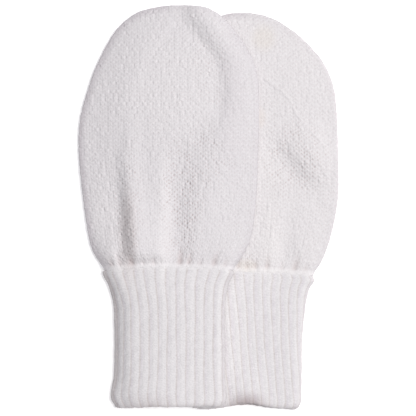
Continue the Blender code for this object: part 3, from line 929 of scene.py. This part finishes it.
def cuff_rows(mitten, maps, downs, is_lining):
    """Rings at these distances below the mitt."""
    left, right = cuff_edges(mitten, 4 * OUTLINE_STEPS)
    top = mitten.join - GAP
    rings = []
    for down in downs:
        left_x = np.interp(down, top - left[:, 1], left[:, 0])
        right_x = np.interp(down, top - right[:, 1], right[:, 0])
        rings.append(cuff_section(mitten, maps, top - down, left_x, right_x, is_lining))
    return np.array(rings)


def hem_rings(outside, inside):
    """Half a turn from the lowest ring outside to the lowest one inside."""
    centre = 0.5 * (outside + inside)
    arm = 0.5 * (outside - inside)
    radius = np.linalg.norm(arm, axis=1, keepdims=True)
    down = np.array((0.0, -1.0, 0.0))
    turns = np.linspace(0.0, math.pi, HEM_ROWS + 1)[1:-1]
    return np.array([centre + arm * math.cos(t) + down * radius * math.sin(t) for t in turns])


def cuff_rings(mitten, maps):
    """The rings of a cuff turned double: down its outside, round the hem and up inside.

    With them, how many courses down each ring is and how strongly the rib shows on it.
    """
    lowest = mitten.cuff[-1].down - 0.5 * CUFF_CLOTH
    count = int(round(lowest / COURSE * COURSE_ROWS))
    downs = np.linspace(0.0, lowest, count + 1)
    rib_rows = int(round(LINING_RIB / COURSE * COURSE_ROWS))
    ups = np.concatenate([
        np.linspace(0.0, LINING_RIB, rib_rows + 1),
        np.linspace(LINING_RIB, lowest, LINING_ROWS + 1)[1:],
    ])
    outside = cuff_rows(mitten, maps, downs, is_lining=False)
    lining = cuff_rows(mitten, maps, lowest - ups, is_lining=True)
    rings = np.concatenate([outside, hem_rings(outside[-1], lining[0]), lining])

    round_hem = HEM_STRETCH * COURSE / COURSE_ROWS * np.arange(1, HEM_ROWS + 1)
    courses = np.concatenate([downs, lowest + round_hem[:-1], lowest + round_hem[-1] + ups]) / COURSE
    strength = np.concatenate([
        RIB_START + (1.0 - RIB_START) * ease(downs / RIB_START_WIDTH),
        np.ones(HEM_ROWS - 1),
        ease(LINING_FADE * (1.0 - ups / LINING_RIB)),
    ])
    return rings, courses, strength


def cuff_tint(mitten, rings):
    """Colour factors of a cuff: painted shade on its folded sides, its hem and its mouth, and its
    tones.
    """
    from_left = rings[..., 0] - rings[..., 0].min(axis=1, keepdims=True)
    from_right = rings[..., 0].max(axis=1, keepdims=True) - rings[..., 0]
    from_side = np.minimum(from_left, from_right)
    from_hem = rings[..., 1] - rings[..., 1].min(axis=0)
    shade = np.where(from_left < from_right, 1.0, RIGHT_SHADE_SHARE)
    flat = rings[..., :2].reshape(-1, 2)
    opening = mouth_opening(mitten, flat) / WIDE_MOUTH
    # Painted shade on the folded sides, weaker on the right
    tint = tinted(PAINTED_SIDE_SHADE, shade * (1.0 - ease(from_side / FOLDED_SIDE_WIDTH)))
    # Painted shade along the hem
    tint *= tinted(PAINTED_HEM_SHADE, 1.0 - ease(from_hem / HEM_WIDTH))
    # Painted shade where the mouth stands open and curls under
    tint *= tinted(PAINTED_MOUTH_SHADE, opening * (1.0 - ease(from_hem / MOUTH_WIDTH)).ravel())
    return tint * tone_tint(mitten, flat)


def rib_yarn(mitten, rings, courses, strength):
    """What the yarn of the rib adds to a cuff's rings, and its tint, which carries painted shade."""
    rib = mitten.rib
    turn = rib.slant / (2.0 * (mitten.cuff[0].left + mitten.cuff[0].right))
    down = courses[:, None] + np.zeros(rings.shape[1])
    share = np.arange(rings.shape[1]) / rings.shape[1] + turn * down * COURSE / mitten.cuff[-1].down
    stray = strays(RIB_STRAYS, down, share)
    uneven = strays(RIB_SWELL, down, share) * strays(RIB_EBB, down, share)
    share = share + RIB_WANDER * stray / rib.count
    rng = np.random.default_rng(rib.count)
    spread = rng.random((RIB_TABLE, rib.count))
    relief, groove, recess, dots = rib_relief(rib, share, down + COURSE_WANDER * stray, spread)
    fuzz = rng.normal(size=relief.shape)
    flecks = rng.random((RIB_TABLE, rib.count * FLECKS))
    fleck = table_value(flecks, 2.0 * down, share * rib.count * FLECKS) - 0.5
    shown = strength[:, None]
    relief = (relief + UNEVENNESS * uneven + FUZZ_HEIGHT * fuzz) * shown
    # Painted shade in the grooves between the ribs and on the recessed purl wales
    tint = tinted(PAINTED_RIB_GROOVE_SHADE, groove * shown) * tinted(PAINTED_RECESS_SHADE, recess * shown)
    # Painted shade between the purl loops
    tint *= tinted(PAINTED_PURL_DOT_SHADE, dots * shown)
    tint *= 1.0 + (FUZZ_SHADE * fuzz + FLECK_SHADE * fleck).reshape(-1, 1)
    return relief, tint * cuff_tint(mitten, rings)


def cuff_shell(mitten, maps):
    """A cuff as a closed shell."""
    rings, courses, strength = cuff_rings(mitten, maps)
    relief, tint = rib_yarn(mitten, rings, courses, strength)
    around = np.roll(rings, -1, axis=1) - np.roll(rings, 1, axis=1)
    outer = rings + unit(np.cross(np.gradient(rings, axis=0), around)) * relief[..., None]
    outer[..., 2] = np.maximum(outer[..., 2], FLOOR_GAP)
    index = np.arange(relief.size).reshape(relief.shape)
    faces = grid_faces(np.vstack([index, index[:1]]), wrap=True)
    return bent(mitten, outer.reshape(-1, 3)), [face[::-1] for face in faces], tint


# Objects

def set_inputs(node, values):
    """Gives a shader node's inputs their values."""
    for name, value in values.items():
        node.inputs[name].default_value = value


def cloth_material(name, colour):
    """Soft white knit: a tint on the yarn that also carries painted shade and light, fine fibres and
    a little sheen.
    """
    material = bpy.data.materials.new(name)
    material.use_nodes = True
    tree = material.node_tree
    shader = tree.nodes["Principled BSDF"]
    set_inputs(shader, {
        "Roughness": 0.95, "Specular IOR Level": 0.15, "Sheen Weight": 0.12, "Sheen Roughness": 0.6,
    })
    tint = tree.nodes.new("ShaderNodeAttribute")
    tint.attribute_name = "tint"
    coloured = tree.nodes.new("ShaderNodeMix")
    coloured.data_type = "RGBA"
    coloured.blend_type = "MULTIPLY"
    set_inputs(coloured, {"Factor": 1.0, "A": (*colour, 1.0)})
    place = tree.nodes.new("ShaderNodeTexCoord")
    fibre = tree.nodes.new("ShaderNodeTexNoise")
    set_inputs(fibre, {"Scale": 2400.0, "Detail": 3.0})
    bump = tree.nodes.new("ShaderNodeBump")
    set_inputs(bump, {"Strength": 0.5, "Distance": 0.0002})
    tree.links.new(place.outputs["Object"], fibre.inputs["Vector"])
    tree.links.new(fibre.outputs["Fac"], bump.inputs["Height"])
    tree.links.new(bump.outputs["Normal"], shader.inputs["Normal"])
    tree.links.new(tint.outputs["Color"], coloured.inputs["B"])
    tree.links.new(coloured.outputs["Result"], shader.inputs["Base Color"])
    return material


def cloth_object(name, shell, material):
    """A shell as an object in metres, with its tint."""
    points, faces, tint = shell
    mesh = bpy.data.meshes.new(name)
    mesh.from_pydata((points * MM).tolist(), [], faces)
    mesh.update()
    colours = mesh.color_attributes.new("tint", "FLOAT_COLOR", "POINT")
    colours.data.foreach_set("color", np.column_stack([tint, np.ones(len(tint))]).ravel())
    mesh.shade_smooth()
    mesh.materials.append(material)
    piece = bpy.data.objects.new(name, mesh)
    bpy.context.scene.collection.objects.link(piece)
    return piece


Maps = namedtuple("Maps", "depth front_base back_base front")


def mitten_maps(mitten, outline, back_base, front_base):
    """Height maps of a mitten's own depth, of what it lies on, and of its front."""
    def front_height(points):
        flat = thickness(mitten, points, depth_inside(outline, points))
        folds = fold_height(mitten, points) + crease_height(mitten, points)
        return front_base(points) + np.maximum(flat + folds, SEAM_HEIGHT)

    return Maps(
        depth=HeightMap(lambda points: depth_inside(outline, points)),
        front_base=HeightMap(front_base),
        back_base=HeightMap(back_base),
        front=HeightMap(front_height),
    )


def make_mitten(mitten, outline, back_base, front_base):
    """The three pieces of a mitten."""
    maps = mitten_maps(mitten, outline, back_base, front_base)
    knit = cloth_material(mitten.name + "_plain_knit", mitten.colour)
    rib = cloth_material(mitten.name + "_rib_knit", RIB_COLOUR)

    front = cloth_object(mitten.name + "_front_knit", panel_shell(mitten, maps, True), knit)
    back = cloth_object(mitten.name + "_back_knit", panel_shell(mitten, maps, False), knit)
    cuff = cloth_object(mitten.name + "_cuff_rib", cuff_shell(mitten, maps), rib)
    for piece, node, slot in (
        (front, "_front", "plain_knit"),
        (back, "_back", "plain_knit"),
        (cuff, "_cuff", "rib_knit"),
    ):
        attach(piece, "root")
        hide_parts(mitten.name + node)
    return front, back, cuff


# Stage

def make_floor():
    """The pale surface that the mittens lie on."""
    bpy.ops.mesh.primitive_plane_add(size=FLOOR_SIZE, location=(0.0, 0.0, FLOOR_LEVEL))
    floor = bpy.context.object
    floor.name = "floor"
    material = bpy.data.materials.new("pale_floor")
    material.use_nodes = True
    set_inputs(material.node_tree.nodes["Principled BSDF"], {
        "Base Color": (*FLOOR_COLOUR, 1.0),
        "Roughness": 0.9,
        "Emission Color": (1.0, 1.0, 1.0, 1.0),
        "Emission Strength": FLOOR_GLOW,
    })
    floor.data.materials.append(material)
    return floor


def make_stage():
    """A pale floor, soft studio light and a camera straight above."""
    stage = [make_floor()]
    for name, place, size, energy, colour in (
        ("key_light", (0.60, 0.16, 1.32), 0.60, 16.6, (1.0, 0.985, 0.97)),
        ("fill_light", (-0.10, 0.35, 1.10), 0.9, 1.3, (0.97, 0.96, 1.0)),
    ):
        bpy.ops.object.light_add(type="AREA", location=place)
        light = bpy.context.object
        light.name = name
        light.data.size = size
        light.data.energy = energy
        light.data.color = colour
        light.rotation_euler = Vector(place).to_track_quat("Z", "Y").to_euler()
        stage.append(light)

    world = bpy.data.worlds.new("studio")
    world.use_nodes = True
    background = world.node_tree.nodes["Background"]
    set_inputs(background, {"Color": (*WORLD_COLOUR, 1.0), "Strength": WORLD_STRENGTH})
    bpy.context.scene.world = world

    bpy.ops.object.camera_add(location=CAMERA_PLACE)
    camera = bpy.context.object
    camera.data.sensor_width = SENSOR_WIDTH
    camera.data.lens = LENS
    bpy.context.scene.camera = camera
    bpy.context.scene.view_settings.view_transform = "Standard"


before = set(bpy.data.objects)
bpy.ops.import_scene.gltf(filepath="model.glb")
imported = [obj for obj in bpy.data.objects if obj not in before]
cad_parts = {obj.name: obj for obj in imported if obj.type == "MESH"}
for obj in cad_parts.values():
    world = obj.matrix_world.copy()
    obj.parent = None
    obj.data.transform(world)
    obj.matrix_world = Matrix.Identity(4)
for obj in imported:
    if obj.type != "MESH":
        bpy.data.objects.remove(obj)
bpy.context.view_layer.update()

LEFT_OUTLINE = whole_outline(LEFT)
RIGHT_OUTLINE = whole_outline(RIGHT)
right_pieces = make_mitten(RIGHT, RIGHT_OUTLINE, surface_height, surface_height)
make_mitten(LEFT, LEFT_OUTLINE, draped_height, bridged_height)
make_stage()
